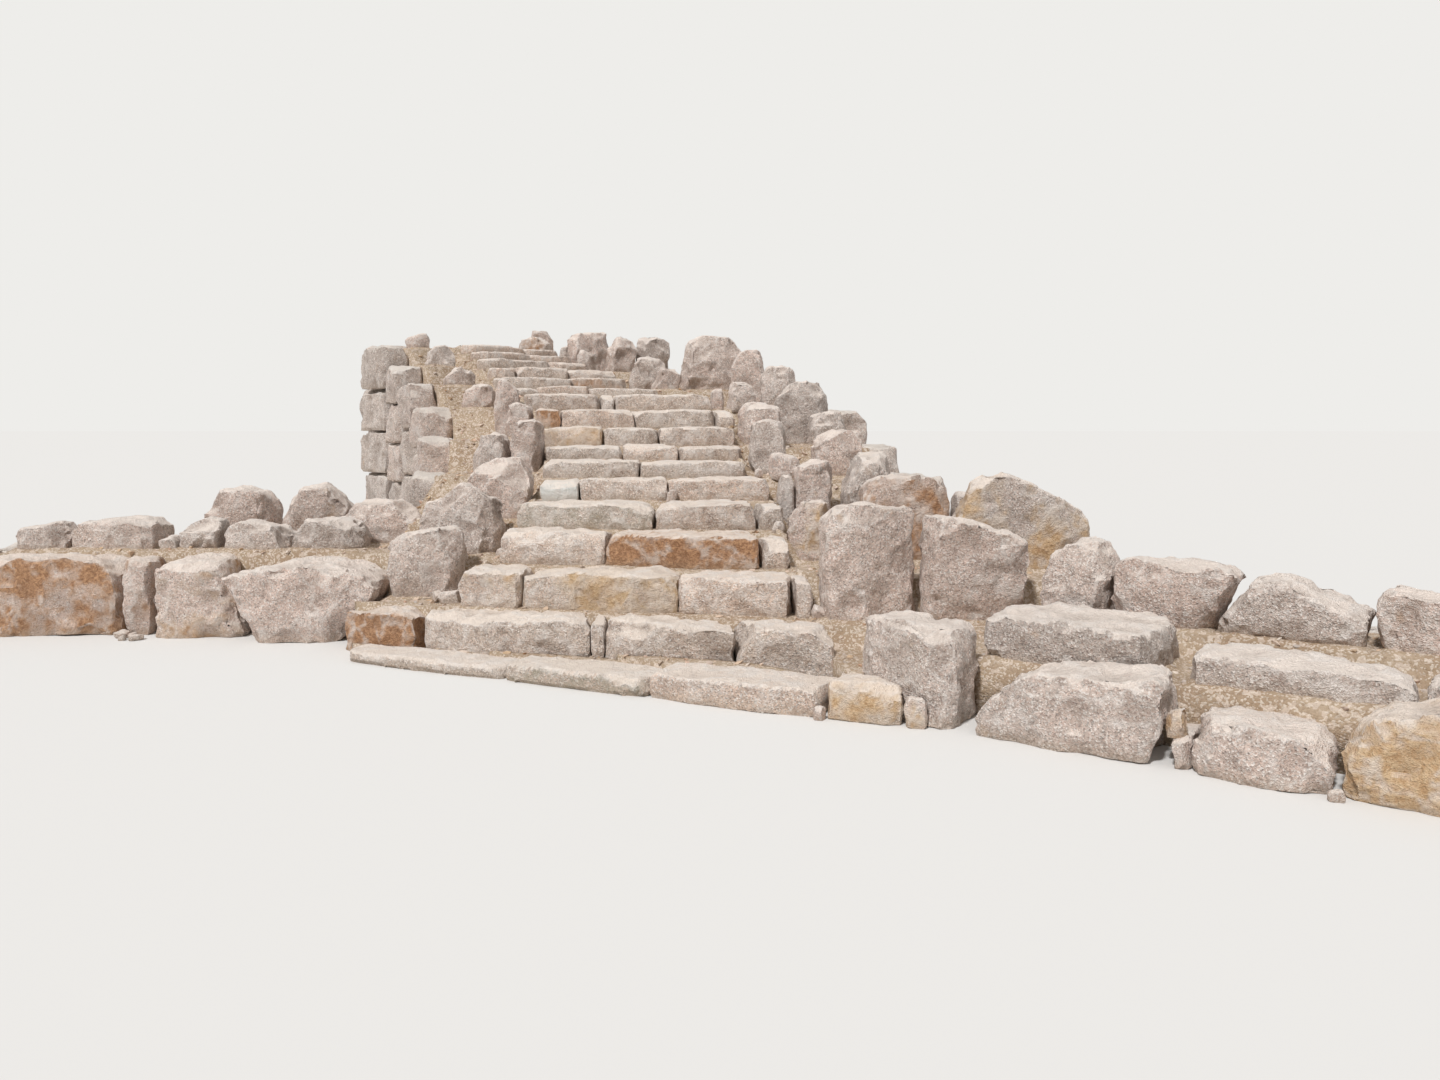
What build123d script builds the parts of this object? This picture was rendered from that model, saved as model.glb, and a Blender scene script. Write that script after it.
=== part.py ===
from build123d import *
import os
from math import cos, hypot, radians, sin

os.makedirs("parts", exist_ok=True)

# Lengths are in millimetres. The origin is the middle of the first step's front foot, on the ground.
# X runs to the viewer's right, Y up the flight, Z up.

# General sizes
FILL_DROP = 25          # the fill lies this far under the tops of the step stones
STONE_JOINT = 14        # open joint between two stones of one row
ROW_SPLIT = 26          # knocked edge on the step stones
BOULDER_SPLIT = 38      # knocked edge on the boulders
FACING_SPLIT = 45       # knocked edge on the facing stones
FACING_THICK = 380      # thickness of the facing on the unseen sides
FACING_JOINT = 18       # open joint between two facing stones
FACING_PROUD = 30       # the top facing stone stands this far above its bench

# Front line of each row of step stones: left end, right end, level of the top
ROWS = {
    1: ((-1700, 700), (1740, -890), 155),
    2: ((-1830, 1020), (1500, -90), 335),
    3: ((-1010, 1000), (1400, 530), 570),
    4: ((-820, 1480), (1290, 1100), 790),
    5: ((-760, 1820), (1290, 1660), 970),
    6: ((-650, 2300), (1200, 2300), 1120),
    7: ((-710, 2850), (1010, 2850), 1250),
    8: ((-780, 3360), (1000, 3380), 1365),
    9: ((-870, 3860), (940, 3920), 1530),
    10: ((-1010, 4360), (950, 4460), 1705),
    11: ((-1220, 4820), (720, 5050), 1865),
    12: ((-1415, 5180), (120, 5700), 1950),
    13: ((-1620, 5600), (-280, 6300), 2075),
    14: ((-1750, 5950), (-450, 6850), 2200),
    15: ((-1900, 6280), (-850, 7300), 2310),
    16: ((-2000, 6600), (-1100, 7700), 2415),
    17: ((-2215, 6900), (-1330, 8060), 2510),
}

# Back line of each row, where the fill of its own tread begins. Number 18 ends the top landing.
BACK_LEFT = {
    2: (-1770, 1210),
    3: (-930, 1410),
    4: (-750, 1800),
    5: (-715, 2230),
    6: (-665, 2750),
    7: (-735, 3270),
    8: (-798, 3770),
    9: (-920, 4270),
    10: (-1070, 4740),
    11: (-1250, 5120),
    12: (-1500, 5500),
    13: (-1760, 5860),
    14: (-1920, 6200),
    15: (-2100, 6500),
    16: (-2240, 6790),
    17: (-2400, 7020),
    18: (-2900, 7350),
}
BACK_RIGHT = {
    2: (1440, 330),
    3: (1365, 970),
    4: (1255, 1540),
    5: (1225, 2110),
    6: (1150, 2740),
    7: (1000, 3270),
    8: (970, 3800),
    9: (915, 4350),
    10: (795, 4900),
    11: (570, 5470),
    12: (30, 5980),
    13: (-420, 6560),
    14: (-620, 7100),
    15: (-1060, 7520),
    16: (-1330, 7900),
    17: (-1550, 8220),
    18: (-2300, 8550),
}

# Outer corners of the benches beside the flight, left and right
OUTER_LEFT = {
    3: (-1680, 1330),
    4: (-1680, 1860),
    5: (-1680, 2300),
    7: (-1680, 3150),
    9: (-1800, 4200),
    11: (-1950, 5000),
    13: (-2250, 5550),
    15: (-2520, 6020),
    17: (-2800, 6420),
    18: (-3150, 6850),
}
OUTER_RIGHT = {
    2: (2640, -30),
    3: (3080, 600),
    4: (3640, 1350),
    6: (2400, 2650),
    8: (2150, 3720),
    10: (2000, 4850),
    12: (1550, 6450),
    14: (530, 7900),
    16: (-570, 8830),
    18: (-1850, 9450),
}

# Level of the bench beside each tread
LEFT_LEVEL = {
    3: 280, 4: 545, 5: 770, 6: 770, 7: 1100, 8: 1100, 9: 1400, 10: 1400,
    11: 1700, 12: 1700, 13: 1960, 14: 1960, 15: 2200, 16: 2200, 17: 2420,
}
RIGHT_LEVEL = {
    2: 310, 3: 545, 4: 545, 5: 765, 6: 1095, 7: 1095, 8: 1335, 9: 1335,
    10: 1675, 11: 1675, 12: 1920, 13: 1920, 14: 2170, 15: 2170, 16: 2390, 17: 2390,
}


def between(a, b, share):
    "The plan point at a share of the way from a to b."
    return (a[0] + (b[0] - a[0]) * share, a[1] + (b[1] - a[1]) * share)


def fill_middles(corners):
    "Adds the corner midway between two rows that are given."
    for number in range(min(corners), max(corners)):
        if number not in corners:
            corners[number] = between(corners[number - 1], corners[number + 1], 0.5)


fill_middles(OUTER_LEFT)
fill_middles(OUTER_RIGHT)


def tread_level(number):
    "Top of the fill behind one row of step stones."
    return ROWS[number][2] - FILL_DROP


def column(outline, base, top):
    "Adds an upright prism on a plan outline to the open part."
    with BuildSketch(Plane.XY.offset(base)) as plan:
        with BuildLine():
            Polyline(*outline, close=True)
        make_face()
    extrude(plan.sketch, amount=top - base)


def knock_edges(part, base, split):
    "Knocks back every edge of the newest stone but those it stands on."
    upper = [edge for edge in part.edges(Select.LAST) if edge.center().Z > base + 1]
    chamfer(upper, split)


def save(part, name):
    "Writes one node's file."
    part.part.label = name
    export_step(part.part, "parts/" + name + ".step")


# The step stones. Each stone is its length along the row, its rise against the row's level,
# and how far its face bulges in front of the row's line. The last stone takes what is left.
ROW_STONES = {
    1: ((1270, -70, 30), (1020, -45, 25), (1060, 0, 35)),
    2: ((640, -35, 25), (1250, -10, 30), (110, -30, 0), (880, -5, 30), (0, 15, 20)),
    3: ((450, 0, 20), (1110, 5, 30), (790, -5, 20), (0, -20, 0)),
    4: ((800, 5, 25), (1130, -5, 30), (0, -25, 0)),
    5: ((1070, 0, 30), (780, 5, 25), (0, -15, 0)),
    6: ((310, -15, 15), (720, 5, 25), (0, 5, 30)),
    7: ((820, 5, 25), (0, -5, 30)),
    8: ((700, 0, 20), (510, 10, 20), (0, -5, 25)),
    9: ((560, 10, 20), (530, -5, 20), (0, 0, 25)),
    10: ((240, 5, 0), (730, 0, 25), (820, -5, 25), (0, -15, 0)),
    11: ((790, 5, 25), (150, -15, 0), (0, 0, 30)),
    12: ((280, -15, 0), (570, 10, 20), (0, -5, 25)),
    13: ((850, 0, 25), (0, 5, 20)),
    14: ((280, -5, 10), (660, 5, 25), (0, -5, 20)),
    15: ((900, 5, 25), (0, -10, 20)),
    16: ((760, 0, 20), (0, -10, 20)),
    17: ((880, 10, 20), (0, 0, 20)),
}
ROW_DEPTH_ONE_LEFT = 200    # depth of the first row's stones at the left end
ROW_DEPTH_ONE_RIGHT = 430   # and at the right end

# The first row's right end stone fits round the corner boulder, so its outline is its own.
END_STONE_ONE = ((1357, -713), (1731, -886), (1775, -790), (1575, -430), (1520, -360))
END_STONE_ONE_TOP = 215

# The first tread rises to the right in strips: where each starts and ends along the row, and its level
FIRST_TREAD = ((0.03, 0.33, 65), (0.335, 0.595, 90), (0.6, 0.84, 130))
FIRST_TREAD_CLEAR = 30      # the strips end this far before the second row's line, at its stones' faces


def row_back(number):
    "Left and right ends of the line where one row's stones end at the back."
    if number > 1:
        return BACK_LEFT[number], BACK_RIGHT[number]
    left, right, top = ROWS[1]
    run = hypot(right[0] - left[0], right[1] - left[1])
    away = ((left[1] - right[1]) / run, (right[0] - left[0]) / run)
    back_left = (left[0] + away[0] * ROW_DEPTH_ONE_LEFT, left[1] + away[1] * ROW_DEPTH_ONE_LEFT)
    back_right = (
        right[0] + away[0] * ROW_DEPTH_ONE_RIGHT,
        right[1] + away[1] * ROW_DEPTH_ONE_RIGHT,
    )
    return back_left, back_right


def lay_row(number):
    "One row of step stones as one node."
    left, right, top = ROWS[number]
    back_left, back_right = row_back(number)
    base = 0 if number <= 2 else tread_level(number - 1)
    run = hypot(right[0] - left[0], right[1] - left[1])
    out = ((right[1] - left[1]) / run, (left[0] - right[0]) / run)
    start = 0
    with BuildPart() as row:
        for length, rise, bulge in ROW_STONES[number]:
            end = start + length if length else run
            near = start + (STONE_JOINT / 2 if start else 0)
            far = end - (STONE_JOINT / 2 if end < run else 0)
            a = between(left, right, near / run)
            b = between(left, right, far / run)
            outline = [a]
            if bulge:
                for share in (0.3, 0.75):
                    middle = between(a, b, share)
                    outline.append((middle[0] + out[0] * bulge, middle[1] + out[1] * bulge))
            outline.append(b)
            outline.append(between(back_left, back_right, far / run))
            outline.append(between(back_left, back_right, near / run))
            column(outline, base, top + rise)
            knock_edges(row, base, ROW_SPLIT if far - near > 140 else ROW_SPLIT / 2)
            start = end
        if number == 1:
            column(END_STONE_ONE, 0, END_STONE_ONE_TOP)
            knock_edges(row, 0, ROW_SPLIT)
    save(row, "step_%02d" % number)


for number in ROWS:
    lay_row(number)

# The fill behind the step stones, one cell a tread, in two nodes so that neighbours are apart.
# The first tread slopes up to the right in three strips between the first two rows.
for remainder, name in ((0, "tread_fill_even"), (1, "tread_fill_odd")):
    with BuildPart() as fill:
        for number in range(2, 18):
            if number % 2 == remainder:
                outline = [
                    BACK_LEFT[number],
                    BACK_RIGHT[number],
                    BACK_RIGHT[number + 1],
                    BACK_LEFT[number + 1],
                ]
                column(outline, 0, tread_level(number))
        if remainder:
            back_left, back_right = row_back(1)
            front_left, front_right, level = ROWS[2]
            run = hypot(front_right[0] - front_left[0], front_right[1] - front_left[1])
            out_x = (front_right[1] - front_left[1]) / run * FIRST_TREAD_CLEAR
            out_y = (front_left[0] - front_right[0]) / run * FIRST_TREAD_CLEAR
            for share_a, share_b, top in FIRST_TREAD:
                far_a = between(front_left, front_right, share_a)
                far_b = between(front_left, front_right, share_b)
                outline = [
                    between(back_left, back_right, share_a),
                    between(back_left, back_right, share_b),
                    (far_b[0] + out_x, far_b[1] + out_y),
                    (far_a[0] + out_x, far_a[1] + out_y),
                ]
                column(outline, 0, top)
    save(fill, name)

# The benches beside the flight that the cheek boulders stand on, again every other one in a node
for remainder, name in ((0, "left_bench_even"), (1, "left_bench_odd")):
    with BuildPart() as bench:
        for number in LEFT_LEVEL:
            if number % 2 == remainder:
                outline = [
                    OUTER_LEFT[number],
                    BACK_LEFT[number],
                    BACK_LEFT[number + 1],
                    OUTER_LEFT[number + 1],
                ]
                column(outline, 0, LEFT_LEVEL[number])
    save(bench, name)

for remainder, name in ((0, "right_bench_even"), (1, "right_bench_odd")):
    with BuildPart() as bench:
        for number in RIGHT_LEVEL:
            if number % 2 == remainder:
                outline = [
                    BACK_RIGHT[number],
                    OUTER_RIGHT[number],
                    OUTER_RIGHT[number + 1],
                    BACK_RIGHT[number + 1],
                ]
                column(outline, 0, RIGHT_LEVEL[number])
    save(bench, name)

# The right wing turns towards the viewer. Its own frame runs along the wing and into it.
WING_START = (1980, -970)
WING_TURN = -35
WING_LENGTH = 2400
COURSE_ONE_DEPTH = 440      # the ground course
COURSE_TWO_DEPTH = 690      # the terrace behind it that the second course stands on
COURSE_THREE_DEPTH = 650    # the terrace of the third course
TERRACE_LOW = 290
TERRACE_HIGH = 420

# The left wing runs square to the viewer's line of sight.
LEFT_WING_LEFT = -4750
LEFT_WING_RIGHT = OUTER_LEFT[7][0]
LEFT_WING_FRONT = 1920      # the back of its base course
LEFT_WING_BACK = OUTER_LEFT[7][1]
LEFT_TERRACE = 575


def wing(along, inward):
    "Plan point from the right wing's own frame."
    turn = radians(WING_TURN)
    return (
        WING_START[0] + along * cos(turn) - inward * sin(turn),
        WING_START[1] + along * sin(turn) + inward * cos(turn),
    )


# Plan of the corner boulder. Its left face lies flush against the first row's end stone.
CORNER_OUTLINE = (
    between(END_STONE_ONE[3], END_STONE_ONE[2], 0.05),
    between(END_STONE_ONE[3], END_STONE_ONE[2], 0.88),
    (1960, -950),
    (2085, -860),
    (2225, -560),
    (1700, -180),
)

terrace_two = COURSE_ONE_DEPTH + COURSE_TWO_DEPTH
terrace_three = terrace_two + COURSE_THREE_DEPTH

with BuildPart() as low:
    column(
        [
            wing(0, COURSE_ONE_DEPTH),
            wing(WING_LENGTH, COURSE_ONE_DEPTH),
            wing(WING_LENGTH, terrace_two),
            OUTER_RIGHT[2],
        ],
        0,
        TERRACE_LOW,
    )
    column(
        [
            between(CORNER_OUTLINE[5], CORNER_OUTLINE[4], 0.03),
            between(CORNER_OUTLINE[5], CORNER_OUTLINE[4], 0.98),
            between(BACK_RIGHT[2], OUTER_RIGHT[2], 0.99),
            between(BACK_RIGHT[2], OUTER_RIGHT[2], 0.3),
        ],
        0,
        TERRACE_LOW,
    )
    column(
        [
            (1512, -130),
            (1545, -350),
            (1586, -415),
            (1694, -165),
            between(BACK_RIGHT[2], OUTER_RIGHT[2], 0.265),
            between(BACK_RIGHT[2], OUTER_RIGHT[2], 0.03),
        ],
        0,
        190,
    )
save(low, "right_wing_fill_low")

with BuildPart() as high:
    column(
        [
            OUTER_RIGHT[2],
            wing(WING_LENGTH, terrace_two),
            wing(WING_LENGTH, terrace_three),
            OUTER_RIGHT[3],
        ],
        0,
        TERRACE_HIGH,
    )
save(high, "right_wing_fill_high")

with BuildPart() as left_fill:
    column(
        [
            (LEFT_WING_LEFT, LEFT_WING_FRONT),
            (LEFT_WING_RIGHT, LEFT_WING_FRONT),
            (LEFT_WING_RIGHT, LEFT_WING_BACK),
            (LEFT_WING_LEFT, LEFT_WING_BACK),
        ],
        0,
        LEFT_TERRACE,
    )
save(left_fill, "left_wing_fill")


# Boulders. Each is the lower left corner of its face in plan, the turn of the face, its depth,
# the level it stands on and the outline of the face: distance along the face, height above the level.
def boulders(name, stones, split=BOULDER_SPLIT):
    "One node of boulders."
    with BuildPart() as group:
        for (x, y), turn, depth, base, outline in stones:
            angle = radians(turn)
            face = Plane(
                origin=(x, y, base),
                x_dir=(cos(angle), sin(angle), 0),
                z_dir=(sin(angle), -cos(angle), 0),
            )
            with BuildSketch(face) as front:
                with BuildLine():
                    Polyline(*outline, close=True)
                make_face()
            extrude(front.sketch, amount=-depth)
            shortest = min(
                hypot(b[0] - a[0], b[1] - a[1])
                for a, b in zip(outline, outline[1:] + outline[:1])
            )
            knock_edges(group, base, min(split, shortest * 0.3))
    save(group, name)


boulders(
    "left_cheek_lower",
    (
        ((-1672, 1400), 0, 360, 280, (
            (40, 0), (540, 0), (565, 250), (560, 490), (490, 550), (80, 470), (0, 370))),
        ((-1555, 1940), -10, 290, 545, (
            (40, 0), (590, 0), (630, 150), (620, 380), (530, 550), (370, 575),
            (50, 410), (0, 240))),
        ((-1320, 2360), 0, 450, 770, (
            (40, 0), (520, 0), (560, 330), (455, 540), (145, 500), (0, 370))),
        ((-1080, 3250), 0, 400, 1100, (
            (0, 0), (270, 0), (285, 420), (220, 495), (60, 480), (0, 390))),
        ((-1430, 3220), 0, 380, 1100, (
            (20, 0), (300, 0), (320, 290), (250, 390), (90, 380), (0, 270))),
    ),
)

boulders(
    "left_cheek_upper",
    (
        ((-1140, 3740), 0, 370, 1100, (
            (0, 0), (240, 0), (240, 360), (180, 450), (50, 440), (0, 340))),
        ((-1340, 4260), 0, 300, 1400, (
            (0, 0), (280, 0), (285, 250), (220, 365), (60, 370), (0, 280))),
        ((-1500, 4690), 0, 300, 1400, (
            (0, 0), (230, 0), (230, 500), (180, 610), (50, 620), (0, 520))),
        ((-1940, 5180), 10, 260, 1700, (
            (0, 0), (330, 0), (340, 180), (260, 300), (80, 290), (0, 170))),
        ((-2220, 5720), 25, 240, 1960, (
            (0, 0), (300, 0), (310, 150), (230, 250), (70, 240), (0, 140))),
        ((-2500, 6170), 40, 240, 2200, (
            (0, 0), (300, 0), (310, 160), (240, 260), (60, 240), (0, 130))),
        ((-3000, 6770), -51, 220, 2420, (
            (0, 0), (290, 0), (300, 120), (220, 220), (70, 200), (0, 110))),
    ),
)

# The corner boulder stands on the ground at the right end of the first two rows.
CORNER_TOP = 530
with BuildPart() as corner:
    column(CORNER_OUTLINE, 0, CORNER_TOP)
    knock_edges(corner, 0, BOULDER_SPLIT)
save(corner, "corner_boulder")

# The tall boulder beside the third row shows two faces, so it is drawn in plan.
TALL_OUTLINE = ((1445, 360), (1830, 300), (2080, 515), (2030, 690), (1470, 760))
TALL_TOP = 1070
with BuildPart() as tall:
    column(TALL_OUTLINE, RIGHT_LEVEL[2], TALL_TOP)
    knock_edges(tall, RIGHT_LEVEL[2], BOULDER_SPLIT * 1.5)
save(tall, "tall_boulder")

boulders(
    "right_cheek_lower",
    (
        ((2065, 330), -8, 370, 310, (
            (10, 0), (620, 0), (660, 370), (655, 550), (400, 645), (110, 700),
            (20, 690), (0, 600))),
        ((2460, 1000), 4, 300, 545, (
            (40, 0), (880, 0), (930, 290), (910, 390), (640, 560), (380, 675),
            (190, 690), (40, 590), (0, 420))),
        ((1310, 1430), 0, 350, 545, (
            (0, 0), (300, 0), (310, 390), (260, 465), (70, 475), (0, 420))),
        ((1840, 1450), 0, 380, 545, (
            (20, 0), (640, 0), (660, 480), (600, 610), (420, 665), (120, 640), (0, 520))),
        ((2535, 1480), 0, 250, 545, (
            (0, 0), (110, 0), (110, 470), (60, 540), (0, 480))),
    ),
)

boulders(
    "right_cheek_inner",
    (
        ((1258, 2060), 0, 230, 765, (
            (0, 0), (120, 0), (120, 340), (80, 405), (0, 360))),
        ((1400, 2020), 0, 400, 765, (
            (0, 0), (280, 0), (290, 450), (220, 555), (80, 550), (0, 460))),
        ((1215, 2680), 0, 270, 1095, (
            (0, 0), (250, 0), (250, 170), (190, 235), (40, 230), (0, 180))),
        ((1065, 3210), 0, 380, 1095, (
            (0, 0), (310, 0), (320, 400), (250, 505), (80, 490), (0, 420))),
        ((1045, 3760), 0, 380, 1335, (
            (0, 0), (310, 0), (320, 330), (250, 425), (60, 420), (0, 320))),
        ((980, 4310), 0, 340, 1335, (
            (0, 0), (270, 0), (280, 370), (210, 460), (60, 450), (0, 360))),
        ((865, 4840), 0, 310, 1675, (
            (0, 0), (300, 0), (310, 230), (240, 315), (50, 310), (0, 240))),
        ((705, 5210), 0, 150, 1675, (
            (0, 0), (130, 0), (130, 230), (80, 285), (0, 240))),
    ),
)

boulders(
    "right_cheek_outer",
    (
        ((1770, 2110), 0, 390, 765, (
            (10, 0), (440, 0), (460, 400), (360, 575), (130, 560), (0, 420))),
        ((1610, 2960), 0, 430, 1095, (
            (0, 0), (420, 0), (440, 310), (350, 430), (90, 435), (0, 330))),
        ((1640, 3790), 0, 360, 1335, (
            (0, 0), (370, 0), (380, 290), (300, 385), (70, 370), (0, 270))),
        ((1340, 4260), 0, 430, 1335, (
            (10, 0), (530, 0), (550, 420), (440, 640), (160, 630), (0, 460))),
        ((1230, 5000), 0, 340, 1675, (
            (0, 0), (360, 0), (380, 350), (290, 495), (90, 480), (0, 360))),
        ((920, 5690), 0, 360, 1675, (
            (10, 0), (420, 0), (440, 480), (340, 705), (120, 690), (0, 500))),
    ),
)

boulders(
    "bend_ring",
    (
        ((50, 6030), 17, 200, 1920, (
            (0, 0), (320, 0), (330, 190), (260, 295), (70, 290), (0, 170))),
        ((-240, 6358), 20, 220, 1920, (
            (0, 0), (495, 0), (505, 310), (410, 425), (90, 410), (0, 300))),
        ((420, 6230), 17, 450, 1920, (
            (30, 0), (640, 0), (700, 400), (600, 620), (260, 670), (60, 560), (0, 360))),
        ((-530, 7275), 35, 290, 2170, (
            (0, 0), (390, 0), (400, 380), (310, 520), (90, 510), (0, 370))),
        ((-160, 7545), 35, 280, 2170, (
            (0, 0), (430, 0), (450, 400), (350, 560), (100, 560), (0, 400))),
        ((-930, 7470), 42, 200, 2170, (
            (0, 0), (230, 0), (240, 230), (180, 350), (60, 350), (0, 220))),
        ((-1120, 7770), 45, 210, 2170, (
            (0, 0), (730, 0), (750, 440), (650, 590), (100, 560), (0, 430))),
        ((-1285, 8260), 50, 190, 2390, (
            (0, 0), (380, 0), (390, 120), (310, 210), (70, 205), (0, 110))),
        ((-2060, 8740), -32, 290, 2390, (
            (0, 0), (480, 0), (500, 230), (400, 345), (80, 330), (0, 210))),
        ((-1880, 9060), 0, 210, 2390, (
            (0, 0), (300, 0), (310, 370), (220, 510), (70, 490), (0, 350))),
    ),
)

boulders(
    "left_wing_base",
    (
        ((LEFT_WING_LEFT, 1490), 0, LEFT_WING_FRONT - 1490, 0, (
            (0, 0), (1065, 0), (1065, 470), (1000, 560), (500, 590), (70, 570), (0, 480))),
        ((-3670, 1530), 0, LEFT_WING_FRONT - 1530, 0, (
            (0, 0), (205, 0), (210, 480), (165, 560), (30, 560), (0, 500))),
        ((-3440, 1420), 0, LEFT_WING_FRONT - 1420, 0, (
            (0, 0), (750, 0), (595, 450), (555, 540), (430, 580), (80, 570), (10, 500))),
        ((-2832, 1240), 0, LEFT_WING_FRONT - 1240, 0, (
            (230, 0), (850, 0), (1110, 320), (1115, 410), (960, 495), (770, 540),
            (580, 560), (420, 550), (100, 480), (0, 420))),
    ),
)

boulders(
    "left_wing_cap",
    (
        ((-4710, 1960), 0, 330, LEFT_TERRACE, (
            (0, 0), (390, 0), (400, 150), (320, 235), (80, 230), (0, 140))),
        ((-4290, 1950), 0, 380, LEFT_TERRACE, (
            (10, 0), (630, 0), (640, 130), (550, 240), (90, 245), (0, 150))),
        ((-3580, 1960), 0, 240, LEFT_TERRACE, (
            (0, 0), (130, 0), (130, 80), (90, 130), (0, 110))),
        ((-3430, 1960), 0, 330, LEFT_TERRACE, (
            (0, 0), (320, 0), (330, 160), (260, 260), (60, 265), (0, 170))),
        ((-3090, 1950), 0, 360, LEFT_TERRACE, (
            (0, 0), (490, 0), (500, 110), (400, 220), (100, 240), (0, 140))),
        ((-2575, 1950), 0, 400, LEFT_TERRACE, (
            (10, 0), (550, 0), (560, 120), (470, 245), (130, 265), (0, 150))),
        ((-2315, 2420), 0, 370, LEFT_TERRACE, (
            (0, 0), (600, 0), (610, 250), (500, 375), (110, 350), (0, 220))),
        ((-3600, 2620), 0, 390, LEFT_TERRACE, (
            (20, 0), (640, 0), (660, 260), (530, 480), (120, 430), (0, 240))),
        ((-2920, 2640), 0, 390, LEFT_TERRACE, (
            (10, 0), (560, 0), (570, 300), (450, 500), (140, 465), (0, 280))),
        ((-4500, 2600), 0, 370, LEFT_TERRACE, (
            (0, 0), (560, 0), (580, 110), (460, 210), (110, 200), (0, 100))),
    ),
)


# Where the last stone of each course of the right wing starts along it; it reaches to the wing's end
WING_END_ONE = 1750
WING_END_TWO = 2035
WING_END_THREE = 1775


def wing_stone(along, inward, depth, base, outline):
    "A boulder of the right wing."
    return (wing(along, inward), WING_TURN, depth, base, outline)


boulders(
    "right_wing_course_1",
    (
        wing_stone(80, 0, COURSE_ONE_DEPTH, 0, (
            (30, 0), (880, 0), (940, 170), (945, 350), (895, 395), (530, 385),
            (190, 320), (70, 240), (0, 120))),
        wing_stone(1165, -20, COURSE_ONE_DEPTH + 20, 0, (
            (20, 0), (550, 0), (560, 150), (460, 235), (180, 265), (20, 260), (0, 120))),
        wing_stone(WING_END_ONE, 0, COURSE_ONE_DEPTH, 0, (
            (20, 0), (WING_LENGTH - WING_END_ONE - 25, 0), (WING_LENGTH - WING_END_ONE - 5, 240),
            (550, 380), (310, 410), (130, 350), (50, 275), (0, 130))),
    ),
)

boulders(
    "right_wing_course_2",
    (
        wing_stone(-20, COURSE_ONE_DEPTH + 10, 640, TERRACE_LOW, (
            (40, 0), (900, 0), (915, 130), (880, 250), (100, 262), (20, 230), (0, 150))),
        wing_stone(1050, COURSE_ONE_DEPTH + 10, 340, TERRACE_LOW, (
            (0, 0), (950, 0), (960, 80), (890, 150), (500, 192), (80, 200), (0, 140))),
        wing_stone(WING_END_TWO, COURSE_ONE_DEPTH + 30, 480, TERRACE_LOW, (
            (0, 0), (WING_LENGTH - WING_END_TWO - 10, 0), (WING_LENGTH - WING_END_TWO - 5, 100),
            (290, 160), (70, 170), (0, 120))),
    ),
)

boulders(
    "right_wing_course_3",
    (
        wing_stone(60, terrace_two + 20, 400, TERRACE_HIGH, (
            (20, 0), (375, 0), (395, 200), (390, 430), (270, 485), (130, 460), (10, 350),
            (0, 190))),
        wing_stone(475, terrace_two + 20, 420, TERRACE_HIGH, (
            (20, 0), (525, 0), (645, 300), (600, 425), (80, 400), (0, 360), (0, 180))),
        wing_stone(1050, terrace_two + 20, 440, TERRACE_HIGH, (
            (10, 0), (665, 0), (695, 170), (470, 285), (290, 350), (150, 320), (0, 90))),
        wing_stone(WING_END_THREE, terrace_two + 20, 470, TERRACE_HIGH, (
            (50, 0), (WING_LENGTH - WING_END_THREE - 20, 0),
            (WING_LENGTH - WING_END_THREE - 5, 200), (500, 330), (180, 365), (50, 330), (0, 180))),
    ),
)

# Two small stones wedged at the foot, each flush against the boulder or the fill behind it
with BuildPart() as wedges:
    column(
        [
            (1758, -880),
            (1800, -925),
            (1868, -930),
            between(CORNER_OUTLINE[1], CORNER_OUTLINE[2], 0.62),
            between(CORNER_OUTLINE[1], CORNER_OUTLINE[2], 0.28),
        ],
        0,
        160,
    )
    knock_edges(wedges, 0, 12)
    column(
        [wing(1052, 30), wing(1148, 55), wing(1152, COURSE_ONE_DEPTH), wing(1050, COURSE_ONE_DEPTH)],
        0,
        140,
    )
    knock_edges(wedges, 0, 14)
save(wedges, "wedge_stones")

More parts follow.
